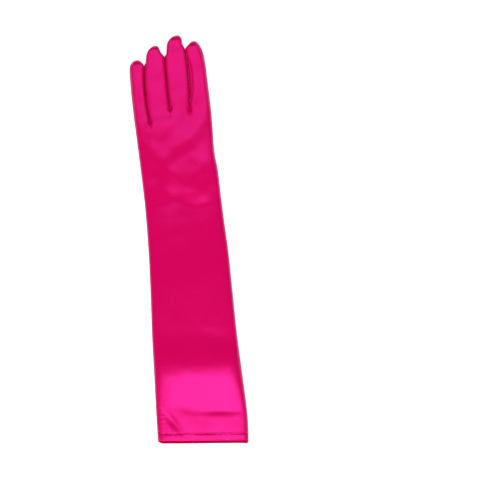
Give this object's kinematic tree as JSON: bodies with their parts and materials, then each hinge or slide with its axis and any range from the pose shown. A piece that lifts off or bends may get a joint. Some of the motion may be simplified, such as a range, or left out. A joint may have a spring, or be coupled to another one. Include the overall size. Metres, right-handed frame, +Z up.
{
  "type": "satin opera glove",
  "caption": "Long satin dress glove for the left hand, lying on its palm with the thumb folded under it, open from the hem to the fingertips.",
  "frame": {"origin": "on the ground under the middle of the glove's box", "axes": "+Y from the hem to the fingertips, +X towards the index finger, +Z up out of the back of the hand"},
  "size_m": [0.1122, 0.506, 0.0191],
  "materials": {
    "satin": "hot pink satin with a soft sheen",
    "fourchette_satin": "the same satin between the fingers, seen in shade"
  },
  "bodies": {
    "root": {"trank": "satin", "thumb": "satin", "hem_band": "satin", "fourchette_ring_little": "fourchette_satin", "fourchette_middle_ring": "fourchette_satin", "fourchette_index_middle": "fourchette_satin"}
  },
  "joints": []
}
